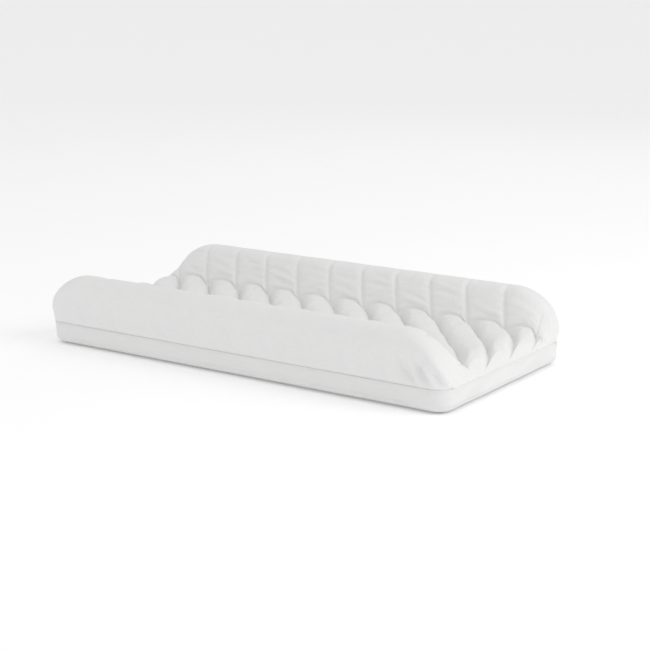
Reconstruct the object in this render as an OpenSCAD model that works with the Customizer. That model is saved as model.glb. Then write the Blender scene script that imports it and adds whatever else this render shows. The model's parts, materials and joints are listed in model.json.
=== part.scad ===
// Contoured changing pad: a foam core with two raised sides, in a waterproof liner and a
// quilted cover that zips shut along the back. Millimetres, +Z up, +X along the pad.
// The origin is on the surface the pad lies on, under the middle of the pad.

/* [Pad] */
// Overall length
pad_l = 825; // [800:5:860]
// Overall width
pad_w = 412; // [400:2:430]
// Height of the raised sides
pad_h = 127; // [120:1:135]
// Height of the quilted floor between the raised sides
floor_h = 66; // [60:1:70]
// Radius of the rounded top of each raised side
ridge_r = 22; // [20:1:26]
// Slope of each raised side's inner face, in degrees
slope = 57; // [52:1:60]
// Lean of the long outer faces, in degrees from upright
lean = 5; // [4.8:0.1:6]
// Radius of the raised sides' ends, seen from the front
end_r = 80; // [70:1:90]
// Radius of the corners, seen from above
corner_r = 30; // [26:1:40]
// Radius of the edge all round the underside
edge_r = 12; // [8:1:13]

/* [Layers] */
// Thickness of the cover fabric
fabric_t = 1.5; // [1:0.1:1.5]
// Loft of the quilt's filling over the floor and the inner faces
loft = 5; // [3:0.5:6]
// Thickness of the waterproof liner
liner_t = 0.8; // [0.4:0.1:0.8]
// Height at which the top of the cover meets the band round its foot
band_h = 40; // [38:1:42]

/* [Zip] */
// Half the length of the zip
zip_half = 325; // [250:5:360]
// Height of the zip's centre line
zip_h = 24; // [23:0.5:25]
// Width of the opening in the cover that shows the zip
zip_gap = 12; // [10.5:0.5:12]
// Width of each tape
tape_w = 9.5; // [8:0.5:9.5]
// Width of each row of teeth
teeth_w = 2.2; // [2:0.1:2.4]
// Length of the slider
slider_l = 12; // [10:0.5:14]
// Length of the pull from its hinge
pull_l = 24; // [18:1:30]

/* [Underside] */
// Height of the non-slip strips
grip_h = 2.4; // [2.4:0.1:3]
// Width of the non-slip strips
grip_w = 24; // [16:1:26]
// Distance of the anchor snaps from the middle of the pad
anchor_x = 330; // [320:5:340]
// Width of the anchor straps
strap_w = 24; // [18:1:26]
// Reach of an anchor strap from its snap to its tip
strap_l = 120; // [90:2:122]
// Radius of the screw hole in each eyelet
screw_r = 2.6; // [2:0.1:2.8]

/* [Hidden] */

big = 1000;          // larger than the pad in every direction
seam = 0.15;         // half of the gap between neighbouring cover panels
round_fn = 48;       // sides of small round pieces

// Depths of the layers below the cover's outer surface.
batting_in = fabric_t + 0.2;
liner_in = fabric_t + 1.3;
foam_in = liner_in + liner_t + 0.2;

// The ridge's centre, and the distances of the slope and of the long outer face from the
// origin along their normals, all on the cover's outer surface.
ridge_y = pad_w / 2 - ridge_r;
ridge_z = pad_h - ridge_r;
slope_d = -sin(slope) * ridge_y + cos(slope) * ridge_z + ridge_r;
face_d = cos(lean) * ridge_y - sin(lean) * ridge_z + ridge_r;

// Where the sloping inner face meets the floor, a little inside the corner.
floor_y = (cos(slope) * floor_h - slope_d) / sin(slope) - 2;

// The zip's place on the long back face.
zip_y = (face_d + sin(lean) * zip_h) / cos(lean);

// Zip sizes measured outward from the cover's surface.
teeth_in = -fabric_t;
teeth_out = 0.9;
plate_in = teeth_out + 0.3;
plate_t = 1;
pin_out = plate_in + plate_t + 1.7;
pin_r = 0.8;
eye_r = 1.5;
lug_r = 1.6;
slider_x = zip_half - 20;

// Anchor heights above the surface the pad lies on.
strap_z = 0.5;
strap_t = 1.3;
rim_t = 0.4;
socket_r = 6.5;
stud_r = 2;
eyelet_x = strap_l - 12;
label_l = 50;
label_w = 32;

// Points along an arc about [x, y].
function arc(x, y, r, from, to, steps) =
    [for (i = [0:steps]) let (a = from + (to - from) * i / steps) [x + r * cos(a), y + r * sin(a)]];

// The same points reversed, on the other side of the upright axis.
function mirrored(points) =
    [for (i = [len(points) - 1:-1:0]) [-points[i][0], points[i][1]]];

// How far from the middle a raised side's inner face is at a height, `depth` below its surface.
function slope_y(z, depth) = (cos(slope) * z - slope_d + depth) / sin(slope);

// Half of the cross-section, from the floor's edge over the ridge to the underside.
function half_section(in) =
    let (
        edge_z = grip_h + edge_r,
        edge_y = (face_d - edge_r + sin(lean) * edge_z) / cos(lean))
    concat(
        [[slope_y(floor_h - in, in), floor_h - in]],
        arc(ridge_y, ridge_z, ridge_r - in, 90 + slope, -lean, 9),
        arc(edge_y, edge_z, edge_r - in, -lean, -90, 4));

// Half of the outline seen from the front, from the top down to the underside.
function half_front(in) = concat(
    arc(pad_l / 2 - end_r, pad_h - end_r, end_r - in, 90, 0, 8),
    arc(pad_l / 2 - edge_r, grip_h + edge_r, edge_r - in, 0, -90, 4));

// Half of the outline seen from above.
function half_plan(in) = concat(
    arc(pad_l / 2 - corner_r, pad_w / 2 - corner_r, corner_r - in, 90, 0, 6),
    arc(pad_l / 2 - corner_r, corner_r - pad_w / 2, corner_r - in, 0, -90, 6));

// Extrudes a cross-section along the pad.
module along() {
    rotate([90, 0, 90]) linear_extrude(big, center = true) children();
}

// The space between the raised sides, `depth` below the floor and the inner faces.
module valley(depth) {
    low = floor_h - depth;
    high = pad_h + 10;
    edge = [[slope_y(low, depth), low], [slope_y(high, depth), high]];
    along() polygon(concat(edge, mirrored(edge)));
}

// The whole pad, with its surface `in` below the cover's outside.
module form(in) {
    section = half_section(in);
    front = half_front(in);
    plan = half_plan(in);
    intersection() {
        along() polygon(concat(section, mirrored(section)));
        rotate([90, 0, 0]) linear_extrude(big, center = true) polygon(concat(front, mirrored(front)));
        linear_extrude(big, center = true) polygon(concat(plan, mirrored(plan)));
    }
}

// The same under the filling, which lies on the floor and the inner faces.
module core(in) {
    difference() {
        form(in);
        valley(in + loft);
    }
}

// The cover's fabric, everywhere.
module fabric() {
    difference() {
        form(0);
        form(fabric_t);
    }
}

module liner() {
    difference() {
        core(liner_in);
        core(liner_in + liner_t);
    }
}

module batting() {
    difference() {
        form(batting_in);
        core(liner_in - 0.1);
    }
}

// A block between two corners.
module block(low, high) {
    translate(low) cube(high - low);
}

// Everything above or below a level.
module above(z) { block([-big, -big, z], [big, big, big]); }
module below(z) { block([-big, -big, -big], [big, big, z]); }

// Mirrored from the right end to the left one, or from the back to the front.
module left() { mirror([1, 0, 0]) children(); }
module front() { mirror([0, 1, 0]) children(); }

// Zip coordinates: x along the zip, y out of the cover's back face, z up the face.
module on_zip() {
    translate([0, zip_y, zip_h]) rotate([-lean, 0, 0]) children();
}

// ---- Foam core ----
foam_floor = floor_h - foam_in - loft;

module foam_base() color("khaki") intersection() {
    core(foam_in);
    below(foam_floor - 0.1);
}

module foam_bolster() intersection() {
    core(foam_in);
    block([-big, 0, foam_floor + 0.1], [big, big, big]);
}
module foam_bolster_front() color("wheat") front() foam_bolster();
module foam_bolster_back() color("wheat") foam_bolster();

// ---- Waterproof liner ----
liner_seam = grip_h + edge_r;

module liner_top() color("lightblue") intersection() {
    liner();
    above(liner_seam + seam);
}
module liner_bottom() color("lightblue") intersection() {
    liner();
    below(liner_seam - seam);
}

// ---- Quilt filling ----
module batting_floor() color("white") intersection() {
    batting();
    block([-big, -floor_y, band_h], [big, floor_y, big]);
}
module batting_side() intersection() {
    batting();
    block([-big, floor_y + 2 * seam, band_h], [big, big, big]);
}
module batting_front() color("white") front() batting_side();
module batting_back() color("white") batting_side();

// ---- Cover: one piece over the top, and a band round its foot that holds the zip ----
module cover_top() color("whitesmoke") intersection() {
    fabric();
    above(band_h);
}

// The height that the band takes, between x and y limits.
module band(low, high) intersection() {
    fabric();
    block([low[0], low[1], grip_h + fabric_t + seam], [high[0], high[1], band_h - 2 * seam]);
}
module long_band() band([-big, ridge_y + seam], [big, big]);
module end_band() band([0, seam - ridge_y], [big, ridge_y - seam]);

module band_front() color("gainsboro") front() long_band();
module band_back_upper() color("gainsboro") intersection() {
    long_band();
    on_zip() above(zip_gap / 2);
}
module band_back_lower() color("gainsboro") intersection() {
    long_band();
    on_zip() below(-zip_gap / 2);
}
module band_left() color("silver") left() end_band();
module band_right() color("silver") end_band();

module cover_bottom() color("darkgray") difference() {
    intersection() {
        form(0);
        below(grip_h + fabric_t);
    }
    for (side = [-1, 1])
        translate([side * anchor_x, 0, 0]) cylinder(h = 2 * edge_r, r = socket_r + 1.5, $fn = round_fn);
}

// ---- Zip ----
tape_in = fabric_t + 0.1;
tape_t = 0.8;

// A strip along the whole zip, above its centre line or, turned over, below it.
module tape() block([-zip_half - 8, -tape_in - tape_t, 0.3], [zip_half + 8, -tape_in, tape_w]);
module teeth() block([4 - zip_half, teeth_in, 0.1], [zip_half - 4, teeth_out, teeth_w]);
module lower() { mirror([0, 0, 1]) children(); }

module zip_tape_upper() color("snow") on_zip() tape();
module zip_tape_lower() color("snow") on_zip() lower() tape();
module zip_teeth_upper() color("lightgray") on_zip() teeth();
module zip_teeth_lower() color("lightgray") on_zip() lower() teeth();

// A clamp across both rows of teeth, which ends the slider's travel.
module zip_stop() {
    on_zip() block([zip_half - 3.8, teeth_in, -3], [zip_half - 0.8, teeth_out + 0.4, 3]);
}
module zip_stop_left() color("silver") left() zip_stop();
module zip_stop_right() color("silver") zip_stop();

// The strip of band between the zip's end and the corner of the pad.
module zip_tab() intersection() {
    long_band();
    on_zip() block([zip_half + 2, -big, 2 * seam - zip_gap / 2], [big, big, zip_gap / 2 - 2 * seam]);
}
module zip_tab_left() color("gainsboro") left() zip_tab();
module zip_tab_right() color("gainsboro") zip_tab();

// The slider straddles the teeth; its lugs hold the pull's hinge pin.
module zip_slider() color("darkslategray") on_zip() translate([slider_x, 0, 0]) {
    inner = teeth_w + 0.5;
    wall = 1;
    nose = 1.4;
    difference() {
        union() {
            translate([0, plate_in + plate_t, 0]) rotate([90, 0, 0])
                linear_extrude(plate_in + plate_t - teeth_in - 0.4) polygon([
                    [-slider_l / 2, -inner - wall], [slider_l / 4, -inner - wall - nose],
                    [slider_l / 2, -inner - wall - nose], [slider_l / 2, inner + wall + nose],
                    [slider_l / 4, inner + wall + nose], [-slider_l / 2, inner + wall]]);
            for (side = [-1, 1]) translate([0, 0, side * 2.2]) {
                translate([-lug_r, plate_in + plate_t - 0.2, -0.5]) cube([2 * lug_r, pin_out - plate_in - plate_t + 0.2, 1]);
                translate([0, pin_out, -0.5]) cylinder(h = 1, r = lug_r, $fn = round_fn);
            }
            translate([0, pin_out, -2.2]) cylinder(h = 4.4, r = pin_r, $fn = round_fn);
        }
        block([-big, -big, -inner], [big, plate_in, inner]);
    }
}

module zip_pull() color("slategray") on_zip() translate([slider_x, pin_out, 0]) difference() {
    eye_h = 2.6;
    plate_w = 7;
    plate_half_t = 0.6;
    neck = 5;
    union() {
        translate([0, 0, -eye_h / 2]) cylinder(h = eye_h, r = eye_r, $fn = round_fn);
        block([-neck - 1, -plate_half_t, -eye_h / 2], [-1, plate_half_t, eye_h / 2]);
        rotate([90, 0, 0]) linear_extrude(2 * plate_half_t, center = true) {
            translate([-pull_l + plate_w / 2, -plate_w / 2]) square([pull_l - plate_w / 2 - neck, plate_w]);
            translate([-pull_l + plate_w / 2, 0]) circle(d = plate_w, $fn = round_fn);
        }
    }
    cylinder(h = big, r = pin_r + 0.06, center = true, $fn = round_fn);
    translate([-pull_l + plate_w / 2, 0, 0]) rotate([90, 0, 0])
        cylinder(h = big, r = 1.6, center = true, $fn = round_fn);
}

// A blank ribbon sewn flat to the underside.
module care_label() color("white")
    translate([-label_l - 10, 0, grip_h - 0.6]) linear_extrude(0.5)
        translate([0, -grip_w / 2 - label_w - 30]) square([label_l, label_w]);

// ---- Non-slip strips ----
module grip(half_l, y) {
    translate([0, y, 0]) linear_extrude(grip_h - 0.05) {
        square([2 * half_l, grip_w], center = true);
        for (side = [-1, 1]) translate([side * half_l, 0]) circle(d = grip_w, $fn = round_fn);
    }
}
grip_y = strap_l + grip_w / 2 + 12;
grip_half = pad_l / 2 - corner_r - 2 * grip_w;
centre_half = anchor_x - strap_l - grip_w / 2 - 12;

module grip_front() color("dimgray") grip(grip_half, -grip_y);
module grip_centre() color("dimgray") grip(centre_half, 0);
module grip_back() color("dimgray") grip(grip_half, grip_y);

// ---- Anchor straps: each turns on a snap and is screwed down through its eyelet ----
module at_anchor() { translate([anchor_x, 0, 0]) children(); }

module anchor_seat() at_anchor() {
    seat_z = grip_h + fabric_t + 0.1;
    translate([0, 0, seat_z]) cylinder(h = 1.1, r = socket_r + 5, $fn = round_fn);
    translate([0, 0, strap_z + strap_t + 0.2])
        cylinder(h = seat_z - strap_z - strap_t, r = stud_r, $fn = round_fn);
}
module anchor_seat_left() color("ivory") left() anchor_seat();
module anchor_seat_right() color("ivory") anchor_seat();

module anchor_strap() at_anchor() difference() {
    translate([0, 0, strap_z]) linear_extrude(strap_t) {
        circle(d = strap_w, $fn = round_fn);
        translate([-strap_l, -strap_w / 2]) square([strap_l, strap_w]);
    }
    translate([-eyelet_x, 0, 0]) cylinder(h = 2 * grip_h, r = screw_r + 0.8, $fn = round_fn);
}
module anchor_strap_left() color("lightyellow") left() anchor_strap();
module anchor_strap_right() color("lightyellow") anchor_strap();

module anchor_socket() at_anchor() translate([0, 0, strap_z + strap_t]) difference() {
    cylinder(h = 2, r = socket_r, $fn = round_fn);
    translate([0, 0, -1]) cylinder(h = 4, r = stud_r + 0.06, $fn = round_fn);
}
module anchor_socket_left() color("ivory") left() anchor_socket();
module anchor_socket_right() color("ivory") anchor_socket();

module anchor_eyelet() at_anchor() translate([-eyelet_x, 0, 0]) difference() {
    union() {
        for (z = [strap_z - rim_t, strap_z + strap_t])
            translate([0, 0, z]) cylinder(h = rim_t, r = screw_r + 3.6, $fn = round_fn);
        translate([0, 0, strap_z - rim_t / 2]) cylinder(h = strap_t + rim_t, r = screw_r + 0.8, $fn = round_fn);
    }
    translate([0, 0, -1]) cylinder(h = 2 * grip_h, r = screw_r, $fn = round_fn);
}
module anchor_eyelet_left() color("silver") left() anchor_eyelet();
module anchor_eyelet_right() color("silver") anchor_eyelet();

foam_base();
foam_bolster_front();
foam_bolster_back();
liner_top();
liner_bottom();
batting_floor();
batting_front();
batting_back();
cover_top();
band_front();
band_back_upper();
band_back_lower();
band_left();
band_right();
cover_bottom();
zip_tape_upper();
zip_tape_lower();
zip_teeth_upper();
zip_teeth_lower();
zip_stop_left();
zip_stop_right();
zip_tab_left();
zip_tab_right();
zip_slider();
zip_pull();
care_label();
grip_front();
grip_centre();
grip_back();
anchor_seat_left();
anchor_seat_right();
anchor_strap_left();
anchor_strap_right();
anchor_socket_left();
anchor_socket_right();
anchor_eyelet_left();
anchor_eyelet_right();
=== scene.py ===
import json
import math

import bmesh
import bpy
import numpy as np
from mathutils import Matrix, Vector

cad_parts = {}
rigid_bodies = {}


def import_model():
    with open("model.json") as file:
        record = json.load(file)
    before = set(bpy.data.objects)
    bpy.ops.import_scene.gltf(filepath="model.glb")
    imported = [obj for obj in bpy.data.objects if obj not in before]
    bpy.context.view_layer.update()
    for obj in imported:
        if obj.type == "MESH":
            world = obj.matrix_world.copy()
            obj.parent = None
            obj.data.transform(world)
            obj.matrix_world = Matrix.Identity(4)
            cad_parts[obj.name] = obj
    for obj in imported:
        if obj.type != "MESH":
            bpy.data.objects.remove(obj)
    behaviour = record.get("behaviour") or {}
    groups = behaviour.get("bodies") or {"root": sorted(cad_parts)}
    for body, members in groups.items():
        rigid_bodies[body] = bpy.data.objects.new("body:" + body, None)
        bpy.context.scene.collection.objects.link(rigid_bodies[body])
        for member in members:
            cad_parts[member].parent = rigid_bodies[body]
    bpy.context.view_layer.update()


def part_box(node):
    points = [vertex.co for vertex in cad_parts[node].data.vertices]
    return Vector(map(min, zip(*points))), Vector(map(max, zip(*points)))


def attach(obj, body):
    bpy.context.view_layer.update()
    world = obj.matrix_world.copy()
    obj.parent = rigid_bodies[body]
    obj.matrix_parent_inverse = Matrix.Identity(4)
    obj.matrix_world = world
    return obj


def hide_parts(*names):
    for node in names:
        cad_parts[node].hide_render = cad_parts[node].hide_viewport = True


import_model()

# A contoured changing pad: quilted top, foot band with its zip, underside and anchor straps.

# ---- Driving dimensions, in metres, from the frame ----
TOP_LOW, TOP_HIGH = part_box("cover_top")
HALF_L, HALF_W, HEIGHT = TOP_HIGH.x, TOP_HIGH.y, TOP_HIGH.z
BAND_TOP = TOP_LOW.z
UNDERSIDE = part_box("cover_bottom")[0].z

SLOPE = math.radians(57)          # inner faces of the raised sides
LEAN = math.radians(5)            # outer faces, from upright
RIDGE_R = 0.022                   # rounded top of each raised side
EDGE_R = 0.012                    # edge round the underside
CORNER_R = 0.030                  # corners seen from above
RIDGE_Y, RIDGE_Z = HALF_W - RIDGE_R, HEIGHT - RIDGE_R
CLOTH = 0.0012                    # thickness of the cover's fabric

# ---- Quilting ----
PITCH = 0.072                     # between seams, along the pad
SEAM_START = 0.014                # the seam pattern's middle, from the pad's middle
SLANT = 3                         # pitches that a seam moves along the pad as it crosses the floor
SIDE_SLANT = 0.026                # how far a seam leans along the pad as it climbs an inner face
GROOVE_Z = 0.055                  # floor level in the seams
FLOOR_PUFF = 0.019                # rise of the floor's channels above their seams
SIDE_PUFF = 0.0048                # rise of the inner faces' channels
SEAM_FADE = 0.42                  # share of the ridge's turn over which a seam fades out
PUCKER, PUCKER_LENGTH = 0.0010, 0.013   # depth and spacing of the puckers beside a seam
PANEL_CREASE = 0.0007             # depth of the faint creases across a panel
CREASE = 0.72                     # share of a channel's rise that is left where it meets the side
STEP = 0.004                      # grid spacing along the pad

# ---- Cloth simulation ----
SIM_FRAMES = 10
FLOOR_CAP, SIDE_CAP, OUTER_CAP = 0.004, 0.0022, 0.0016   # how far it may move each part

# ---- Ends ----
FLAT_HALF = 0.458                 # half of the grid's length before the ends are rounded
END_START = 0.322                 # where the ends begin to turn down
SIDE_END_R = 0.085                # turn of the raised sides' ends
FLOOR_END_R = 0.036               # turn of the floor's ends


def mix(a, b, t):
    return a + (b - a) * t


def smooth(low, high, x):
    t = np.clip((x - low) / (high - low), 0, 1)
    return t * t * (3 - 2 * t)


def face_y(z):
    """How far the leaning outer face is from the middle at a height."""
    distance = math.cos(LEAN) * RIDGE_Y - math.sin(LEAN) * RIDGE_Z + RIDGE_R
    return (distance + math.sin(LEAN) * z) / math.cos(LEAN)


def plan_half_width(x):
    """Half of the pad's width seen from above, at a distance from its middle."""
    over = np.clip(np.abs(x) - (HALF_L - CORNER_R), 0, CORNER_R)
    return HALF_W - CORNER_R + np.sqrt(CORNER_R ** 2 - over ** 2)


# Where the inner face's slope meets the ridge, and its run down to the seams' level.
SLOPE_TOP_Y = RIDGE_Y - RIDGE_R * math.sin(SLOPE)
SLOPE_TOP_Z = RIDGE_Z + RIDGE_R * math.cos(SLOPE)
SLOPE_RUN = (SLOPE_TOP_Z - GROOVE_Z) / math.sin(SLOPE)
FLOOR_HALF = SLOPE_TOP_Y - SLOPE_RUN * math.cos(SLOPE)

# Rows of the grid from the middle outward: floor, slope, ridge and outer face.
FLOOR_ROWS, SLOPE_ROWS, RIDGE_ROWS, FACE_ROWS = 27, 17, 13, 14
HALF_ROWS = FLOOR_ROWS + SLOPE_ROWS + RIDGE_ROWS + FACE_ROWS
COLUMNS = round(2 * FLAT_HALF / STEP)


# ---------------------------------------------------------------- the quilted top

def row_share(row, first, count):
    return np.clip((row - first) / count, 0, 1)


def seam_phase(a, row):
    """Counts channels: whole numbers are seams. They cross the floor at a slant."""
    shift = SLANT * PITCH * (1 - np.clip(row / FLOOR_ROWS, -1, 1)) / 2
    return (a - SEAM_START - PITCH / 2 - shift) / PITCH


def channel(phase, power):
    """The rounded section of a channel, 0 on its seams and 1 between them."""
    return 1 - np.abs(2 * (phase - np.floor(phase)) - 1) ** power


def surface_normals(points):
    n = np.cross(np.gradient(points, axis=0), np.gradient(points, axis=1))
    length = np.linalg.norm(n, axis=2, keepdims=True)
    return n / np.maximum(length, 1e-12)


def fold(x, z, at, lean, width, length):
    """A soft crease on an outer face: a furrow along a leaning line, fading at both ends."""
    dx, dz = x - at[0], z - at[1]
    across = dx * math.cos(lean) + dz * math.sin(lean)
    along = -dx * math.sin(lean) + dz * math.cos(lean)
    ends = np.exp(-(along / length) ** 2)
    furrow = -np.exp(-(across / width) ** 2) + 0.55 * np.exp(-((across - 1.7 * width) / width) ** 2)
    return furrow * ends


def top_surface():
    """The quilted top as a grid of points, along the pad and then across it, with its seams."""
    a = np.linspace(-FLAT_HALF, FLAT_HALF, COLUMNS + 1)[:, None]
    row = np.arange(-HALF_ROWS, HALF_ROWS + 1)[None, :]
    out = np.abs(row)
    phase = seam_phase(a, row)
    rng = np.random.default_rng(5)
    loft = rng.uniform(0.90, 1.06, 64)[np.floor(phase).astype(int) % 64]
    floor_rise = FLOOR_PUFF * loft * channel(phase, 2.9)
    foot = np.take_along_axis(floor_rise, np.broadcast_to(
        HALF_ROWS + np.where(row < 0, -1, 1) * FLOOR_ROWS, floor_rise.shape), 1)
    climbed = CREASE * foot / math.sin(SLOPE)

    # The floor, up to the crease where it meets the inner face.
    crease_y = FLOOR_HALF + climbed * math.cos(SLOPE)
    floor_y = crease_y * np.clip(out / FLOOR_ROWS, 0, 1)
    to_crease = np.clip((crease_y - floor_y) / 0.022, 0, 1)
    shoulder = CREASE + (1 - CREASE) * np.sqrt(1 - (1 - to_crease) ** 2)
    floor_z = GROOVE_Z + floor_rise * shoulder

    # The inner face, from the crease to the ridge.
    up = row_share(out, FLOOR_ROWS, SLOPE_ROWS)
    along = climbed + up * (SLOPE_RUN - climbed)
    slope_y = FLOOR_HALF + along * math.cos(SLOPE)
    slope_z = GROOVE_Z + along * math.sin(SLOPE)

    # The ridge, and the outer face down to the band.
    angle = mix(math.pi / 2 + SLOPE, -LEAN, row_share(out, FLOOR_ROWS + SLOPE_ROWS, RIDGE_ROWS))
    down = row_share(out, HALF_ROWS - FACE_ROWS, FACE_ROWS) + 0 * a
    face_z = mix(RIDGE_Z - RIDGE_R * math.sin(LEAN), BAND_TOP, down)

    on_floor = out <= FLOOR_ROWS
    on_slope = out <= FLOOR_ROWS + SLOPE_ROWS
    on_ridge = out <= HALF_ROWS - FACE_ROWS
    y = np.select([on_floor, on_slope, on_ridge],
                  [floor_y, slope_y, RIDGE_Y + RIDGE_R * np.cos(angle) + 0 * a], face_y(face_z))
    z = np.select([on_floor, on_slope, on_ridge],
                  [floor_z, slope_z, RIDGE_Z + RIDGE_R * np.sin(angle) + 0 * a], face_z)

    # Rounded ends: the section shrinks to the band's top as it nears the end.
    swept = a - SIDE_SLANT * np.sign(row) * up * (1 - np.abs(a / FLAT_HALF) ** 6)
    beyond = np.clip((np.abs(swept) - END_START) / (FLAT_HALF - END_START), 0, 1)
    turned = END_START + (HALF_L - END_START) * np.sin(math.pi / 2 * beyond)
    x = np.sign(swept) * np.where(beyond > 0, turned, np.abs(swept)) + 0 * y
    turn_r = mix(FLOOR_END_R, SIDE_END_R, smooth(0, 1, up))
    past = np.clip((np.abs(x) - (HALF_L - turn_r)) / turn_r, 0, 1)
    shrink = np.sqrt(1 - past ** 2)
    points = np.stack([x, np.sign(row) * y * plan_half_width(x) / HALF_W,
                       BAND_TOP + (z - BAND_TOP) * shrink], axis=2)

    # The inner faces' channels and the outer faces' soft folds stand out from that surface.
    over_ridge = row_share(out, FLOOR_ROWS + SLOPE_ROWS, RIDGE_ROWS)
    side = smooth(0, 0.10, up) * (1 - smooth(0, SEAM_FADE, over_ridge)) * (out > FLOOR_ROWS)
    on_end = smooth(0.60, 0.97, shrink)
    rise = SIDE_PUFF * mix(1, channel(phase, 9), on_end) * side * smooth(0, 0.6, shrink)

    # Puckers beside the stitching, and faint creases across each panel.
    fraction = phase - np.floor(phase)
    off_seam = np.minimum(fraction, 1 - fraction)
    panel = np.floor(phase)
    run = np.where(on_floor, np.abs(floor_y), FLOOR_HALF + along)
    pucker = np.sin(2 * math.pi * run / PUCKER_LENGTH + 2.4 * panel) * np.exp(-off_seam / 0.11)
    pucker = PUCKER * pucker * smooth(0, 0.06, off_seam)
    ripple = PANEL_CREASE * np.sin(2 * math.pi * (run / 0.021 + 0.37 * panel + 0.8 * fraction))
    ripple = ripple * np.sin(math.pi * fraction) * np.sin(1.7 * panel + 40 * run) ** 2
    quilted = np.where(on_floor, shoulder, side) * on_end
    rise = rise + (pucker + ripple) * quilted
    outer = smooth(0.05, 0.5, down) * (1 - smooth(0.82, 0.98, down))
    rise = rise + outer * (0.0016 * np.sin(23 * x + 1.3) * np.sin(41 * x * (1 + 0.3 * np.sin(9 * x)))
                           + 0.0006 * np.sin(170 * x + 60 * z))
    front_right = outer * (row < 0)
    for at, lean, width, length, depth in FRONT_FOLDS:
        rise = rise + front_right * depth * fold(x, z, at, lean, width, length)
    tuck = smooth(0.90, 1.0, down) * 0.0010
    points = points + surface_normals(points) * (rise - tuck)[:, :, None]
    seam = (np.abs(phase - np.round(phase)) < 1e-4) & on_slope
    seam = seam & (out <= FLOOR_ROWS + SLOPE_ROWS)
    crease = out == FLOOR_ROWS
    return points, dict(seam=seam, crease=crease + 0 * a > 0, out=out + 0 * a)


# Folds near the front right foot: place along and up, lean, width, length and depth.
FRONT_FOLDS = [
    ((0.372, 0.070), math.radians(28), 0.0050, 0.020, 0.0085),
    ((0.352, 0.056), math.radians(40), 0.0045, 0.016, 0.0055),
    ((0.342, 0.072), math.radians(30), 0.0100, 0.030, 0.0050),
    ((0.396, 0.078), math.radians(12), 0.0060, 0.026, 0.0045),
]


def new_piece(name, bm):
    mesh = bpy.data.meshes.new(name)
    bm.to_mesh(mesh)
    bm.free()
    obj = bpy.data.objects.new(name, mesh)
    bpy.context.scene.collection.objects.link(obj)
    mesh.polygons.foreach_set("use_smooth", [True] * len(mesh.polygons))
    return obj


def grid_on(points):
    """A create_grid sheet moved onto an array of points, with a UV map in metres of cloth."""
    columns, rows = points.shape[0] - 1, points.shape[1] - 1
    bm = bmesh.new()
    bmesh.ops.create_grid(bm, x_segments=columns, y_segments=rows, size=0.5)
    across = np.concatenate([[0], np.cumsum(np.linalg.norm(np.diff(points[columns // 2], axis=0), axis=1))])
    along = np.concatenate([[0], np.cumsum(np.linalg.norm(np.diff(points[:, rows // 2], axis=0), axis=1))])
    place, flat = {}, {}
    for v in bm.verts:
        cell = round((v.co.x + 0.5) * columns), round((v.co.y + 0.5) * rows)
        place[cell] = v
        flat[v] = (along[cell[0]], across[cell[1]])
        v.co = points[cell]
    uv = bm.loops.layers.uv.new("cloth")
    for face in bm.faces:
        for loop in face.loops:
            loop[uv].uv = flat[loop.vert]
    return bm, place


def simulate(obj, pin_weights, cap):
    """Inflates the cloth between its pinned seams and keeps the soft creases that this makes."""
    rest = np.array([v.co for v in obj.data.vertices])
    pins = obj.vertex_groups.new(name="pins")
    for i, weight in enumerate(pin_weights):
        if weight > 0:
            pins.add([i], float(weight), "REPLACE")
    cloth = obj.modifiers.new("cloth", "CLOTH")
    fabric = cloth.settings
    fabric.quality = 4
    fabric.mass = 0.12
    fabric.tension_stiffness = 12
    fabric.compression_stiffness = 12
    fabric.shear_stiffness = 4
    fabric.bending_stiffness = 0.05
    fabric.tension_damping = fabric.compression_damping = fabric.shear_damping = 8
    fabric.vertex_group_mass = "pins"
    fabric.pin_stiffness = 1.0
    fabric.use_pressure = True
    fabric.uniform_pressure_force = 4.0
    fabric.shrink_min = fabric.shrink_max = -0.03
    fabric.effector_weights.gravity = 0
    cloth.collision_settings.use_collision = False
    scene = bpy.context.scene
    for step in range(1, SIM_FRAMES + 1):
        scene.frame_set(step)
    solved = obj.evaluated_get(bpy.context.evaluated_depsgraph_get()).data
    moved = np.array([v.co for v in solved.vertices]) - rest
    length = np.linalg.norm(moved, axis=1, keepdims=True)
    moved *= cap[:, None] / (cap[:, None] + length)
    obj.modifiers.remove(cloth)
    obj.vertex_groups.clear()
    obj.data.vertices.foreach_set("co", (rest + moved).ravel())
    obj.data.update()
    scene.frame_set(1)


def apply_modifiers(obj):
    graph = bpy.context.evaluated_depsgraph_get()
    mesh = bpy.data.meshes.new_from_object(obj.evaluated_get(graph))
    obj.modifiers.clear()
    obj.data = mesh


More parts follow.
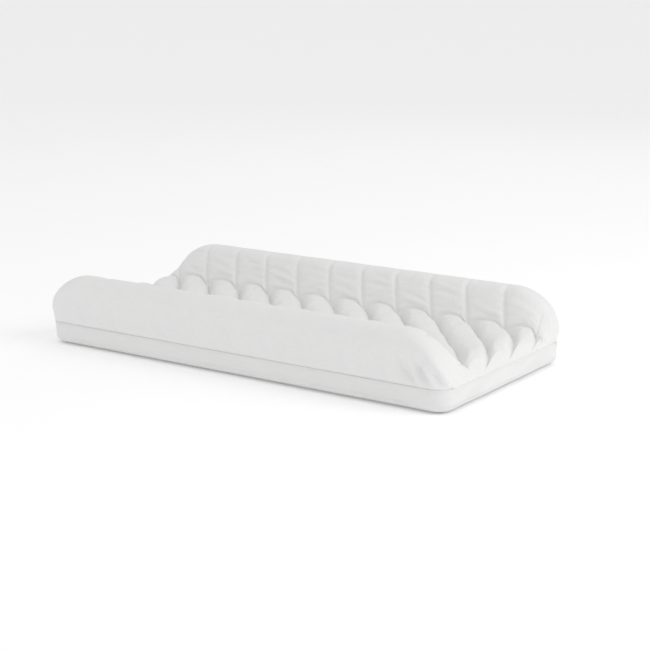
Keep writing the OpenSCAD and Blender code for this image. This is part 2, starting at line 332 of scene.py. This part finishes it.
def make_top():
    points, mask = top_surface()
    bm, place = grid_on(points)
    seam = mask["seam"]
    # Each quad that a slanted seam crosses is split, so that the seam is a line of edges.
    for (i, j), v in place.items():
        if not seam[i, j]:
            continue
        for di in (1, -1):
            other = place.get((i + di, j + 1))
            if other is None or not seam[i + di, j + 1] or seam[i, j + 1]:
                continue
            shared = [f for f in v.link_faces if f in other.link_faces]
            if shared:
                bmesh.utils.face_split(shared[0], v, other)
    bm.verts.index_update()
    weights, cap = np.zeros(len(bm.verts)), np.zeros(len(bm.verts))
    for cell, v in place.items():
        out = mask["out"][cell]
        at_end = cell[0] in (0, COLUMNS) or cell[1] in (0, 2 * HALF_ROWS)
        if seam[cell] or at_end:
            weights[v.index] = 1.0
        elif mask["crease"][cell]:
            weights[v.index] = 0.8
        cap[v.index] = FLOOR_CAP if out < FLOOR_ROWS else SIDE_CAP
        if out > FLOOR_ROWS + SLOPE_ROWS:
            cap[v.index] = OUTER_CAP
    obj = new_piece("quilted_top", bm)
    simulate(obj, weights, cap)
    modifier = obj.modifiers.new("subdivision", "SUBSURF")
    modifier.levels = modifier.render_levels = 1
    modifier.boundary_smooth = "PRESERVE_CORNERS"
    apply_modifiers(obj)
    close_under(obj, BAND_TOP - 0.001)
    return obj, points, mask


def close_under(obj, z):
    """Closes the shell with a flat face just inside its lower edge."""
    bm = bmesh.new()
    bm.from_mesh(obj.data)
    rim = [e for e in bm.edges if e.is_boundary]
    made = bmesh.ops.extrude_edge_only(bm, edges=rim)["geom"]
    for v in made:
        if isinstance(v, bmesh.types.BMVert):
            v.co = (v.co.x * 0.992, v.co.y * 0.985, z)
    bmesh.ops.contextual_create(bm, geom=[e for e in bm.edges if e.is_boundary])
    bmesh.ops.recalc_face_normals(bm, faces=bm.faces)
    bm.to_mesh(obj.data)
    bm.free()
    obj.data.polygons.foreach_set("use_smooth", [True] * len(obj.data.polygons))


# ---------------------------------------------------------------- the foot band and the underside

EDGE_Z = UNDERSIDE + EDGE_R       # where the outer faces meet the underside's edge
GAP_LOW, GAP_HIGH, GAP_HALF = 0.0183, 0.0297, 0.327   # opening for the zip in the band
ZIP_Z = 0.024


def plan_outline(inset):
    """The pad's outline seen from above, anticlockwise from the zip's right end, as an open list."""
    r = CORNER_R - inset
    straight = HALF_L - CORNER_R
    line = list(np.linspace(GAP_HALF, -GAP_HALF, 110)) + list(np.linspace(-GAP_HALF, -straight, 10)[1:])
    points = [(x, HALF_W - inset) for x in line]
    for cx, cy, start in ((-1, 1, 90), (-1, -1, 180), (1, -1, 270), (1, 1, 0)):
        centre = (cx * straight, cy * (HALF_W - CORNER_R))
        for k in range(13):
            angle = math.radians(start + 90 * k / 12)
            points.append((centre[0] + r * math.cos(angle), centre[1] + r * math.sin(angle)))
        if (cx, cy) == (-1, -1):
            points += [(x, -HALF_W + inset) for x in np.linspace(-straight, straight, 128)[1:-1]]
        elif (cx, cy) != (1, 1):
            end = HALF_L - inset
            side = np.linspace(cy, -cy, 60)[1:-1] * (HALF_W - CORNER_R)
            points += [(cx * end, y) for y in side]
    points += [(x, HALF_W - inset) for x in np.linspace(straight, GAP_HALF, 10)[1:]]
    return points


def foot_ring(rows):
    """Points of the foot's outer face: the plan outline at each of a list of (inset, height)."""
    rings = []
    for inset, z in rows:
        lean = face_y(max(z, EDGE_Z)) / HALF_W
        rings.append([(x, y * lean, z) for x, y in plan_outline(inset)])
    return np.array(rings).transpose(1, 0, 2)


def edge_row(degrees):
    angle = math.radians(degrees)
    return EDGE_R * (1 - math.cos(angle)), EDGE_Z - EDGE_R * math.sin(angle)


def thicken(obj, thickness):
    modifier = obj.modifiers.new("thickness", "SOLIDIFY")
    modifier.thickness = thickness
    modifier.offset = -1
    return obj


def make_band():
    """The plain band round the foot, with the slot for the zip along its back."""
    heights = [BAND_TOP + 0.0004, 0.0375, 0.035, 0.0325, GAP_HIGH, 0.0268, 0.0240, 0.0212, GAP_LOW, 0.0163]
    rows = [(0, z) for z in heights] + [edge_row(d) for d in range(0, 61, 10)]
    points = foot_ring(rows)
    bm, place = grid_on(points)
    bmesh.ops.remove_doubles(bm, verts=bm.verts, dist=0.00005)
    slot = [f for f in bm.faces if f.calc_center_median().y > 0.15
            and abs(f.calc_center_median().x) < GAP_HALF
            and GAP_LOW < f.calc_center_median().z < GAP_HIGH]
    bmesh.ops.delete(bm, geom=slot, context="FACES")
    for v in bm.verts:
        x, y, z = v.co
        wave = math.sin(31 * x + 17 * y) * math.sin(53 * x - 29 * y + 90 * z)
        lift = 0.0005 * wave * max(0, min(1, (BAND_TOP - v.co.z) / 0.006))
        if v.co.y > 0.15:
            lift *= 0.3
        out = Vector((x if abs(x) > HALF_L - 0.02 else 0, y if abs(y) > 0.18 else 0, 0))
        v.co += out.normalized() * lift
    outward(bm)
    return thicken(new_piece("foot_band", bm), CLOTH)


def outward(bm):
    """Turns an open shell's faces to look away from the pad's middle."""
    bm.normal_update()
    middle = Vector((0, 0, 0.05))
    facing = sum(f.normal.dot(f.calc_center_median() - middle) * f.calc_area() for f in bm.faces)
    if facing < 0:
        bmesh.ops.reverse_faces(bm, faces=bm.faces)


def loop_edges(bm, points):
    verts = [bm.verts.new(p) for p in points]
    return [bm.edges.new((verts[k - 1], verts[k])) for k in range(len(verts))]


def hole_edges(bm, x, z, r):
    """A round hole's edge, flat at a height, for triangle_fill to leave open."""
    made = bmesh.ops.create_circle(bm, segments=24, radius=r, matrix=Matrix.Translation((x, 0, z)))
    return list({e for v in made["verts"] for e in v.link_edges})


def make_base_panel():
    """The plain underside, with a round hole over each anchor's snap."""
    rows = [edge_row(62), edge_row(72), edge_row(82), edge_row(90)]
    bm, _ = grid_on(foot_ring(rows))
    bmesh.ops.remove_doubles(bm, verts=bm.verts, dist=0.00005)
    low = min(v.co.z for v in bm.verts)
    inner = [e for e in bm.edges if e.is_boundary and all(v.co.z < low + 0.0001 for v in e.verts)]
    for side in (-1, 1):
        inner += hole_edges(bm, side * ANCHOR_X, low, SNAP_HOLE_R)
    bmesh.ops.triangle_fill(bm, edges=inner, use_beauty=True, use_dissolve=False)
    bmesh.ops.recalc_face_normals(bm, faces=bm.faces)
    bm.normal_update()
    if sum(f.normal.z * f.calc_area() for f in bm.faces) > 0:
        bmesh.ops.reverse_faces(bm, faces=bm.faces)
    return thicken(new_piece("base_panel", bm), CLOTH)


# ---------------------------------------------------------------- stitching

def stitch_row(name, spots, length, thickness):
    """Short threads along a line; each spot is a middle, a direction and a way out of the cloth."""
    total = bmesh.new()
    template = bpy.data.meshes.new("stitch")
    for first in range(0, len(spots), 100):
        part = bmesh.new()
        for centre, along, out in spots[first:first + 100]:
            along = Vector(along).normalized()
            out = Vector(out).normalized()
            across = out.cross(along).normalized()
            out = along.cross(across)
            turn = Matrix((along, across, out)).transposed().to_4x4()
            size = Matrix.Diagonal((length / 2, thickness / 2, thickness / 2, 1))
            bmesh.ops.create_uvsphere(part, u_segments=6, v_segments=3, radius=1,
                                      matrix=Matrix.Translation(centre) @ turn @ size)
        part.to_mesh(template)
        part.free()
        total.from_mesh(template)
    bpy.data.meshes.remove(template)
    return new_piece(name, total)


def spaced(line, pitch):
    """Middles and directions at an even pitch along a line of points."""
    line = np.asarray(line)
    run = np.concatenate([[0], np.cumsum(np.linalg.norm(np.diff(line, axis=0), axis=1))])
    at = np.arange(pitch / 2, run[-1], pitch)
    middle = np.stack([np.interp(at, run, line[:, k]) for k in range(3)], axis=1)
    ahead = np.stack([np.interp(at + pitch * 0.2, run, line[:, k]) for k in range(3)], axis=1)
    behind = np.stack([np.interp(at - pitch * 0.2, run, line[:, k]) for k in range(3)], axis=1)
    return [(Vector(m), Vector(d)) for m, d in zip(middle, ahead - behind)]


def band_stitches():
    spots = []
    for z in (BAND_TOP - 0.0035, 0.0125):
        inset = 0 if z > EDGE_Z else EDGE_R - math.sqrt(EDGE_R ** 2 - (EDGE_Z - z) ** 2)
        line = foot_ring([(inset, z)])[:, 0]
        for middle, along in spaced(line, 0.0042):
            out = along.cross(Vector((0, 0, 1))).normalized()
            spots.append((middle + out * 0.0002, along, out))
    return stitch_row("band_stitches", spots, 0.0030, 0.0006)


def zip_stitches():
    spots = []
    for z in (GAP_LOW - 0.0018, GAP_HIGH + 0.0018):
        y = face_y(z) + 0.0001
        for middle, along in spaced([(-GAP_HALF, y, z), (GAP_HALF, y, z)], 0.0034):
            spots.append((middle, along, Vector((0, 1, 0))))
    return stitch_row("zip_stitches", spots, 0.0025, 0.0006)


def quilt_stitches(points, mask):
    """Thread in the bottom of every quilted seam, along the smooth side of the cloth."""
    spots = []
    normals = surface_normals(points)
    rows = np.arange(-HALF_ROWS, HALF_ROWS + 1)
    for number in range(-8, 9):
        line, lift = [], []
        for j in range(1, 2 * HALF_ROWS):
            if abs(rows[j]) > FLOOR_ROWS + SLOPE_ROWS - 2:
                continue
            column = np.nonzero(mask["seam"][:, j] & (np.round(
                seam_phase(np.linspace(-FLAT_HALF, FLAT_HALF, COLUMNS + 1), rows[j])) == number))[0]
            if len(column) and 4 < column[0] < COLUMNS - 4:
                line.append(points[column[0], j])
                lift.append(normals[column[0], j])
        if len(line) < 6:
            continue
        lift = np.array(lift)
        for middle, along in spaced(line, 0.0045):
            near = int(np.argmin(np.linalg.norm(np.array(line) - np.array(middle), axis=1)))
            out = Vector(lift[near])
            spots.append((middle + out * 0.0003, along, out))
    return stitch_row("quilt_stitches", spots, 0.0032, 0.0006)


# ---------------------------------------------------------------- the zip's soft parts

def make_tape(name, node, low_z, high_z):
    """One of the zip's two woven tapes, with a ribbed edge."""
    low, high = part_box(node)
    xs = np.linspace(low.x, high.x, 134)
    zs = np.linspace(low_z, high_z, 9)
    rib = 0.00015
    points = np.array([[(x, face_y(z) - 0.0017 - rib * (k % 2), z) for k, z in enumerate(zs)] for x in xs])
    bm, place = grid_on(points)
    outward(bm)
    return thicken(new_piece(name, bm), 0.0006)


def make_coil(name, node, side):
    """One half of the zip's coil: a row of rounded loops, half a pitch from the other half's."""
    low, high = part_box(node)
    pitch = 0.0024
    count = int((high.x - low.x - pitch) / pitch)
    spots = []
    for k in range(count):
        x = low.x + pitch * (k + 0.5 + (0.5 if side > 0 else 0))
        z = ZIP_Z + side * 0.0011
        spots.append((Vector((x, face_y(z) - 0.0001, z)), Vector((0.25, 0, 1)), Vector((0, 1, 0))))
    return stitch_row(name, spots, 0.0023, 0.0013)


# ---------------------------------------------------------------- anchor straps and the label

def make_strap(name, node, side):
    """A flat webbing strap, rounded at its snap and holed for its eyelet."""
    low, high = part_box(node)
    bm = bmesh.new()
    half = (high.y - low.y) / 2
    tip = (low.x if side > 0 else high.x)
    centre = ANCHOR_X * side
    arc = [(centre + side * half * math.cos(t), half * math.sin(t), high.z)
           for t in np.linspace(-math.pi / 2, math.pi / 2, 19)]
    back = [(x, half, high.z) for x in np.linspace(centre, tip, 20)[1:]]
    cut = [(tip, y, high.z) for y in np.linspace(half, -half, 8)[1:]]
    front = [(x, -half, high.z) for x in np.linspace(tip, centre, 20)[1:-1]]
    edges = loop_edges(bm, arc + back + cut + front)
    edges += hole_edges(bm, EYELET_X * side, high.z, EYELET_HOLE_R)
    bmesh.ops.triangle_fill(bm, edges=edges, use_beauty=True, use_dissolve=False)
    bmesh.ops.recalc_face_normals(bm, faces=bm.faces)
    bm.normal_update()
    if sum(f.normal.z for f in bm.faces) < 0:
        bmesh.ops.reverse_faces(bm, faces=bm.faces)
    obj = thicken(new_piece(name, bm), high.z - low.z)
    bevel = obj.modifiers.new("edges", "BEVEL")
    bevel.width = 0.0003
    bevel.segments = 2
    return obj


def strap_stitches(name, side):
    """The crossed box of stitches that holds the strap's folded end by the snap."""
    z = 0.00045
    corners = [(0.300, -0.009), (0.312, -0.009), (0.312, 0.009), (0.300, 0.009)]
    runs = [(corners[k], corners[(k + 1) % 4]) for k in range(4)] + [(corners[0], corners[2]),
                                                                    (corners[1], corners[3])]
    spots = []
    for start, end in runs:
        for middle, along in spaced([(side * start[0], start[1], z), (side * end[0], end[1], z)], 0.0028):
            spots.append((middle, along, Vector((0, 0, -1))))
    return stitch_row(name, spots, 0.0021, 0.0005)


def make_label():
    """The blank ribbon label, sewn flat to the underside."""
    low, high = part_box("care_label")
    bm = bmesh.new()
    bmesh.ops.create_grid(bm, x_segments=20, y_segments=14, size=0.5)
    for v in bm.verts:
        x, y = mix(low.x, high.x, v.co.x + 0.5), mix(low.y, high.y, v.co.y + 0.5)
        curl = 0.00025 * math.sin(9 * v.co.x) * math.sin(math.pi * (v.co.y + 0.5))
        v.co = (x, y, high.z - 0.00005 - abs(curl))
    return thicken(new_piece("blank_label", bm), 0.00022)


# ---------------------------------------------------------------- materials

def node_material(name, base, spread, rough, metallic=0.0, sheen=0.0):
    """A material whose colour drifts between two tones, with its roughness; returns its nodes too."""
    material = bpy.data.materials.new(name)
    material.use_nodes = True
    tree = material.node_tree
    shader = tree.nodes["Principled BSDF"]
    shader.inputs["Metallic"].default_value = metallic
    shader.inputs["Sheen Weight"].default_value = sheen
    shader.inputs["Sheen Roughness"].default_value = 0.6
    coords = tree.nodes.new("ShaderNodeTexCoord")
    drift = tree.nodes.new("ShaderNodeTexNoise")
    drift.inputs["Scale"].default_value = 14
    drift.inputs["Detail"].default_value = 6
    tree.links.new(coords.outputs["Object"], drift.inputs["Vector"])
    tint = tree.nodes.new("ShaderNodeMix")
    tint.data_type = "RGBA"
    tint.inputs["A"].default_value = (*[c * (1 - spread) for c in base], 1)
    tint.inputs["B"].default_value = (*[min(1, c * (1 + spread)) for c in base], 1)
    tree.links.new(drift.outputs["Fac"], tint.inputs["Factor"])
    gloss = tree.nodes.new("ShaderNodeMapRange")
    gloss.inputs["To Min"].default_value = rough[0]
    gloss.inputs["To Max"].default_value = rough[1]
    tree.links.new(drift.outputs["Fac"], gloss.inputs["Value"])
    tree.links.new(gloss.outputs["Result"], shader.inputs["Roughness"])
    return material, tree, shader, coords, tint


def bump_on(tree, shader, height, strength, distance):
    bump = tree.nodes.new("ShaderNodeBump")
    bump.inputs["Strength"].default_value = strength
    bump.inputs["Distance"].default_value = distance
    tree.links.new(height, bump.inputs["Height"])
    tree.links.new(bump.outputs["Normal"], shader.inputs["Normal"])


def maths(tree, operation, a, b):
    node = tree.nodes.new("ShaderNodeMath")
    node.operation = operation
    for socket, value in ((node.inputs[0], a), (node.inputs[1], b)):
        if isinstance(value, (int, float)):
            socket.default_value = value
        else:
            tree.links.new(value, socket)
    return node.outputs[0]


def woven(name, base, spread, rough, period, strength, thread_tint=0.05, sheen=0.12, slub=0.0):
    """Plain woven cloth: threads over and under each other at a period, in metres."""
    material, tree, shader, coords, tint = node_material(name, base, spread, rough, sheen=sheen)
    waves = []
    for direction in ("X", "Y", "Z"):
        wave = tree.nodes.new("ShaderNodeTexWave")
        wave.bands_direction = direction
        wave.inputs["Scale"].default_value = 0.314 / period
        wave.inputs["Distortion"].default_value = 0.6
        wave.inputs["Detail"].default_value = 1
        wave.inputs["Detail Scale"].default_value = 0.4
        tree.links.new(coords.outputs["Object"], wave.inputs["Vector"])
        waves.append(wave.outputs["Fac"])
    weave = maths(tree, "MULTIPLY", waves[0], maths(tree, "ADD", waves[1], waves[2]))
    fuzz = tree.nodes.new("ShaderNodeTexNoise")
    fuzz.inputs["Scale"].default_value = 900
    fuzz.inputs["Detail"].default_value = 3
    tree.links.new(coords.outputs["Object"], fuzz.inputs["Vector"])
    wrinkle = tree.nodes.new("ShaderNodeTexNoise")
    wrinkle.inputs["Scale"].default_value = 38
    wrinkle.inputs["Detail"].default_value = 4
    wrinkle.inputs["Distortion"].default_value = 0.7
    tree.links.new(coords.outputs["Object"], wrinkle.inputs["Vector"])
    fibres = maths(tree, "MULTIPLY", fuzz.outputs["Fac"], 0.3)
    height = maths(tree, "ADD", maths(tree, "MULTIPLY", weave, 0.35), fibres)
    height = maths(tree, "ADD", height, maths(tree, "MULTIPLY", wrinkle.outputs["Fac"], 1.6 + slub))
    bump_on(tree, shader, height, strength, 0.0006)
    shade = tree.nodes.new("ShaderNodeMix")
    shade.data_type = "RGBA"
    shade.blend_type = "MULTIPLY"
    shade.inputs["B"].default_value = (*[1 - thread_tint] * 3, 1)
    tree.links.new(tint.outputs["Result"], shade.inputs["A"])
    tree.links.new(maths(tree, "MULTIPLY", weave, 0.5), shade.inputs["Factor"])
    tree.links.new(shade.outputs["Result"], shader.inputs["Base Color"])
    return material


def moulded(name, base, rough, grain, strength, metallic=0.0, stretch=(1, 1, 1), dots=0.0):
    """Moulded plastic, rubber or metal with a fine grain; dots gives it raised studs at a period."""
    material, tree, shader, coords, tint = node_material(name, base, 0.05, rough, metallic)
    mapping = tree.nodes.new("ShaderNodeMapping")
    mapping.inputs["Scale"].default_value = stretch
    tree.links.new(coords.outputs["Object"], mapping.inputs["Vector"])
    noise = tree.nodes.new("ShaderNodeTexNoise")
    noise.inputs["Scale"].default_value = grain
    noise.inputs["Detail"].default_value = 5
    tree.links.new(mapping.outputs["Vector"], noise.inputs["Vector"])
    height = noise.outputs["Fac"]
    colour = tint.outputs["Result"]
    if dots:
        studs = tree.nodes.new("ShaderNodeTexVoronoi")
        studs.inputs["Scale"].default_value = 1 / dots
        studs.inputs["Randomness"].default_value = 0
        tree.links.new(coords.outputs["Object"], studs.inputs["Vector"])
        raised = maths(tree, "LESS_THAN", studs.outputs["Distance"], 0.55)
        height = maths(tree, "ADD", maths(tree, "MULTIPLY", raised, 3), height)
    speck = tree.nodes.new("ShaderNodeMix")
    speck.data_type = "RGBA"
    speck.blend_type = "MULTIPLY"
    speck.inputs["B"].default_value = (0.86, 0.86, 0.86, 1)
    tree.links.new(colour, speck.inputs["A"])
    tree.links.new(noise.outputs["Fac"], speck.inputs["Factor"])
    tree.links.new(speck.outputs["Result"], shader.inputs["Base Color"])
    bump_on(tree, shader, height, strength, 0.0003)
    return material


def all_materials():
    white = (0.80, 0.80, 0.795)
    return {
        "quilted_cotton": woven("quilted_cotton", white, 0.015, (0.84, 0.95), 0.0009, 0.22),
        "cotton": woven("cotton", (0.78, 0.78, 0.775), 0.015, (0.84, 0.95), 0.0009, 0.25),
        "base_fabric": woven("base_fabric", (0.70, 0.70, 0.69), 0.03, (0.80, 0.95), 0.0014, 0.45, 0.12),
        "webbing": woven("webbing", (0.74, 0.73, 0.70), 0.03, (0.75, 0.92), 0.0022, 0.8, 0.2),
        "zip_tape": woven("zip_tape", (0.76, 0.76, 0.76), 0.02, (0.78, 0.92), 0.0012, 0.5, 0.14),
        "label": woven("label", (0.84, 0.84, 0.83), 0.015, (0.45, 0.62), 0.0006, 0.2, 0.05),
        "liner": woven("liner", (0.75, 0.75, 0.75), 0.02, (0.6, 0.8), 0.001, 0.3),
        "batting": woven("batting", (0.82, 0.82, 0.81), 0.03, (0.9, 1.0), 0.003, 0.9, slub=2.0),
        "foam": moulded("foam", (0.80, 0.76, 0.62), (0.85, 0.98), 600, 0.9),
        "zip_teeth": moulded("zip_teeth", (0.80, 0.80, 0.80), (0.30, 0.45), 500, 0.2),
        "snap_plastic": moulded("snap_plastic", (0.80, 0.79, 0.76), (0.32, 0.48), 420, 0.25),
        "zip_metal": moulded("zip_metal", (0.62, 0.62, 0.63), (0.24, 0.42), 260, 0.3, 1.0, (1, 6, 6)),
        "eyelet_metal": moulded("eyelet_metal", (0.66, 0.65, 0.63), (0.20, 0.38), 300, 0.25, 1.0),
        "grip": moulded("grip", (0.16, 0.16, 0.17), (0.62, 0.85), 350, 0.7, dots=0.004),
    }


def thread_material(name, tone):
    """Twisted sewing thread."""
    material, tree, shader, coords, tint = node_material(name, (tone, tone, tone), 0.03, (0.55, 0.75))
    twist = tree.nodes.new("ShaderNodeTexWave")
    twist.bands_direction = "DIAGONAL"
    twist.inputs["Scale"].default_value = 700
    tree.links.new(coords.outputs["Object"], twist.inputs["Vector"])
    tree.links.new(tint.outputs["Result"], shader.inputs["Base Color"])
    bump_on(tree, shader, twist.outputs["Fac"], 0.4, 0.0002)
    return material


# ---------------------------------------------------------------- studio

def world_and_lights():
    scene = bpy.context.scene
    scene.view_settings.view_transform = "Standard"
    world = bpy.data.worlds.new("studio")
    scene.world = world
    world.use_nodes = True
    background = world.node_tree.nodes["Background"]
    background.inputs["Color"].default_value = (1, 1, 1, 1)
    background.inputs["Strength"].default_value = WORLD_LIGHT
    for name, place, size, power in LAMPS:
        lamp = bpy.data.lights.new(name, "AREA")
        lamp.energy, lamp.size = power, size
        obj = bpy.data.objects.new(name, lamp)
        scene.collection.objects.link(obj)
        obj.location = place
        obj.rotation_euler = (Vector((0, 0, 0.05)) - obj.location).to_track_quat("-Z", "Y").to_euler()


WORLD_LIGHT = 0.76
LAMPS = (
    ("key", (2.4, 0.1, 1.7), 1.6, 21),
    ("fill", (-1.8, -2.6, 1.8), 2.5, 9),
    ("back", (-0.6, 2.6, 2.0), 2.0, 3),
)


def studio_floor():
    bm = bmesh.new()
    bmesh.ops.create_grid(bm, x_segments=1, y_segments=1, size=40)
    bmesh.ops.translate(bm, verts=bm.verts, vec=(0, 0, -0.0005))
    floor = new_piece("studio_floor", bm)
    pale = (0.95, 0.95, 0.952)
    material, tree, shader, coords, tint = node_material("pale_floor", pale, 0.004, (0.88, 0.92))
    tree.links.new(tint.outputs["Result"], shader.inputs["Base Color"])
    shader.inputs["Emission Color"].default_value = (1, 1, 1, 1)
    shader.inputs["Emission Strength"].default_value = 0.12
    floor.data.materials.append(material)


def place_camera():
    data = bpy.data.cameras.new("camera")
    data.lens = 86.8
    camera = bpy.data.objects.new("camera", data)
    bpy.context.scene.collection.objects.link(camera)
    bpy.context.scene.camera = camera
    camera.location = (1.5537, -2.1806, 0.704)
    aim = Vector((0.0646, -0.0149, 0.06))
    camera.rotation_euler = (aim - camera.location).to_track_quat("-Z", "Y").to_euler()


# ---------------------------------------------------------------- the scene

ANCHOR_X, EYELET_X = 0.330, 0.222         # the anchors' snaps and eyelets, from the middle
SNAP_HOLE_R, EYELET_HOLE_R = 0.0078, 0.0035
MATERIALS = all_materials()
THREAD = thread_material("thread", 0.78)
# The quilting thread is much darker than the white cloth: painted shade, standing in for the shadow in the
# bottom of each quilted seam.
QUILT_THREAD_PAINTED_SHADE = thread_material("quilting_thread_painted_shade", 0.50)


def finish_piece(obj, body, slot, replaced=(), material=None):
    obj.data.materials.clear()
    obj.data.materials.append(material or MATERIALS[slot])
    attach(obj, body)
    if replaced:
        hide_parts(*replaced)


for obj in list(bpy.data.objects):
    if obj.type != "MESH":
        continue
    for held in obj.material_slots:
        if held.material and held.material.name.split(".")[0] in MATERIALS:
            held.material = MATERIALS[held.material.name.split(".")[0]]

top, top_points, top_mask = make_top()
finish_piece(top, "pad", "quilted_cotton", (
    "cover_top", "batting_floor", "batting_front", "batting_back", "liner_top", "liner_bottom",
    "foam_base", "foam_bolster_front", "foam_bolster_back"))
# The seams' stitches get the darkened thread: painted shade along each seam's groove.
finish_piece(quilt_stitches(top_points, top_mask), "pad", "quilted_cotton",
             material=QUILT_THREAD_PAINTED_SHADE)
finish_piece(make_band(), "pad", "cotton", (
    "band_front", "band_left", "band_right", "band_back_upper", "band_back_lower",
    "zip_tab_left", "zip_tab_right"))
finish_piece(band_stitches(), "pad", "cotton", material=THREAD)
finish_piece(zip_stitches(), "pad", "cotton", material=THREAD)
finish_piece(make_base_panel(), "pad", "base_fabric", ("cover_bottom",))
finish_piece(make_tape("upper_tape", "zip_tape_upper", 0.0243, 0.0335),
             "pad", "zip_tape", ("zip_tape_upper",))
finish_piece(make_tape("lower_tape", "zip_tape_lower", 0.0148, 0.0238),
             "pad", "zip_tape", ("zip_tape_lower",))
finish_piece(make_coil("upper_coil", "zip_teeth_upper", 1), "pad", "zip_teeth", ("zip_teeth_upper",))
finish_piece(make_coil("lower_coil", "zip_teeth_lower", -1), "pad", "zip_teeth", ("zip_teeth_lower",))
finish_piece(make_label(), "pad", "label", ("care_label",))
for side, word in ((-1, "left"), (1, "right")):
    finish_piece(make_strap("webbing_" + word, "anchor_strap_" + word, side), "anchor_" + word, "webbing",
                 ("anchor_strap_" + word,))
    finish_piece(strap_stitches("strap_stitches_" + word, side), "anchor_" + word, "webbing",
                 material=THREAD)
studio_floor()
world_and_lights()
place_camera()
